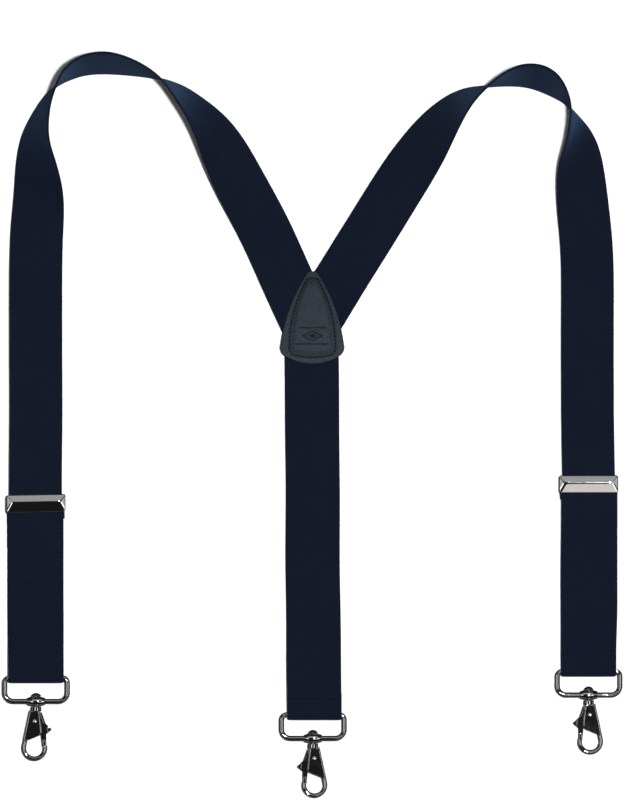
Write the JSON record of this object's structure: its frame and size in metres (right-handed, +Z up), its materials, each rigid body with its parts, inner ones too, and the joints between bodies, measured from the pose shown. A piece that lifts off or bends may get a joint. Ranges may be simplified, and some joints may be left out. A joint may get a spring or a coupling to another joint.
{
  "type": "suspenders",
  "caption": "Y-back elastic suspenders laid flat: webbing straps joined by a leather patch, with sliding length adjusters and swivelling sprung trigger hooks.",
  "frame": {"origin": "bottom centre of the whole object's box, on the table", "axes": "+Y along the straps towards the shoulders, +X to the right seen from the front, +Z up from the table"},
  "size_m": [0.4298, 0.5173, 0.0385],
  "materials": {
    "webbing": "navy woven elastic, matt with a soft blue sheen",
    "patch_leather": "charcoal black grained leather, semi-matt",
    "thread": "black polyester thread",
    "pad": "fibre board",
    "chrome": "bright nickel chrome plate",
    "steel": "plated pressed steel"
  },
  "bodies": {
    "harness": {"left_front_strap": "webbing", "left_front_layer": "webbing", "right_front_strap": "webbing", "right_front_layer": "webbing", "back_strap": "webbing", "back_strap_stitching": "thread", "patch_backing": "patch_leather", "patch_pad": "pad", "patch_front": "patch_leather", "patch_stitching": "thread"},
    "left_slide": {"left_slide_cover": "chrome", "left_slide_frame": "steel", "left_grip_bar": "steel", "left_strap_end": "webbing", "left_return_layer": "webbing", "left_end_stitching": "thread"},
    "left_fold": {"left_strap_fold": "webbing"},
    "left_loop": {"left_loop": "chrome"},
    "left_hook": {"left_swivel_pin": "chrome", "left_hook_body": "chrome", "left_gate_pin": "chrome", "left_gate_spring": "steel"},
    "left_gate": {"left_gate": "chrome"},
    "right_slide": {"right_slide_cover": "chrome", "right_slide_frame": "steel", "right_grip_bar": "steel", "right_strap_end": "webbing", "right_return_layer": "webbing", "right_end_stitching": "thread"},
    "right_fold": {"right_strap_fold": "webbing"},
    "right_loop": {"right_loop": "chrome"},
    "right_hook": {"right_swivel_pin": "chrome", "right_hook_body": "chrome", "right_gate_pin": "chrome", "right_gate_spring": "steel"},
    "right_gate": {"right_gate": "chrome"},
    "back_loop": {"back_loop": "chrome"},
    "back_hook": {"back_swivel_pin": "chrome", "back_hook_body": "chrome", "back_gate_pin": "chrome", "back_gate_spring": "steel"},
    "back_gate": {"back_gate": "chrome"}
  },
  "joints": [
    {"name": "left_slide_travel", "type": "slide", "parent": "harness", "child": "left_slide", "axis": [0, 1, 0], "range_m": [-0.15, 0.13], "deforming": ["left_front_layer", "left_return_layer"]},
    {"name": "left_fold_travel", "type": "slide", "parent": "left_slide", "child": "left_fold", "axis": [0, 1, 0], "range_m": [-0.066, 0.076]},
    {"name": "left_loop_swing", "type": "hinge", "parent": "left_fold", "child": "left_loop", "pos_m": [-0.1914, -0.1753, 0.0038], "axis": [-1, 0, 0], "range_deg": [0, 135]},
    {"name": "left_hook_swivel", "type": "hinge", "parent": "left_loop", "child": "left_hook", "pos_m": [-0.1914, -0.1917, 0.0038], "axis": [0, 1, 0], "continuous": true},
    {"name": "left_gate_open", "type": "hinge", "parent": "left_hook", "child": "left_gate", "pos_m": [-0.1924, -0.2057, 0.0038], "axis": [0, 0, -1], "range_deg": [0, 28], "stiffness_Nm_per_rad": 0.08, "springref_deg": -28.65, "deforming": ["left_gate_spring"]},
    {"name": "right_slide_travel", "type": "slide", "parent": "harness", "child": "right_slide", "axis": [0, 1, 0], "range_m": [-0.165, 0.116], "deforming": ["right_front_layer", "right_return_layer"]},
    {"name": "right_fold_travel", "type": "slide", "parent": "right_slide", "child": "right_fold", "axis": [0, 1, 0], "range_m": [-0.059, 0.0835]},
    {"name": "right_loop_swing", "type": "hinge", "parent": "right_fold", "child": "right_loop", "pos_m": [0.1914, -0.1708, 0.0038], "axis": [-1, 0, 0], "range_deg": [0, 135]},
    {"name": "right_hook_swivel", "type": "hinge", "parent": "right_loop", "child": "right_hook", "pos_m": [0.1914, -0.1872, 0.0038], "axis": [0, 1, 0], "continuous": true},
    {"name": "right_gate_open", "type": "hinge", "parent": "right_hook", "child": "right_gate", "pos_m": [0.1924, -0.2012, 0.0038], "axis": [0, 0, 1], "range_deg": [0, 28], "stiffness_Nm_per_rad": 0.08, "springref_deg": -28.65, "deforming": ["right_gate_spring"]},
    {"name": "back_loop_swing", "type": "hinge", "parent": "harness", "child": "back_loop", "pos_m": [0.0004, -0.2009, 0.0038], "axis": [-1, 0, 0], "range_deg": [0, 135]},
    {"name": "back_hook_swivel", "type": "hinge", "parent": "back_loop", "child": "back_hook", "pos_m": [0.0004, -0.2173, 0.0038], "axis": [0, 1, 0], "continuous": true},
    {"name": "back_gate_open", "type": "hinge", "parent": "back_hook", "child": "back_gate", "pos_m": [0.0014, -0.2313, 0.0038], "axis": [0, 0, 1], "range_deg": [0, 28], "stiffness_Nm_per_rad": 0.08, "springref_deg": -28.65, "deforming": ["back_gate_spring"]}
  ],
  "couplings": [
    {"joint": "left_fold_travel", "follows": "left_slide_travel", "ratio": -0.5},
    {"joint": "right_fold_travel", "follows": "right_slide_travel", "ratio": -0.5}
  ]
}
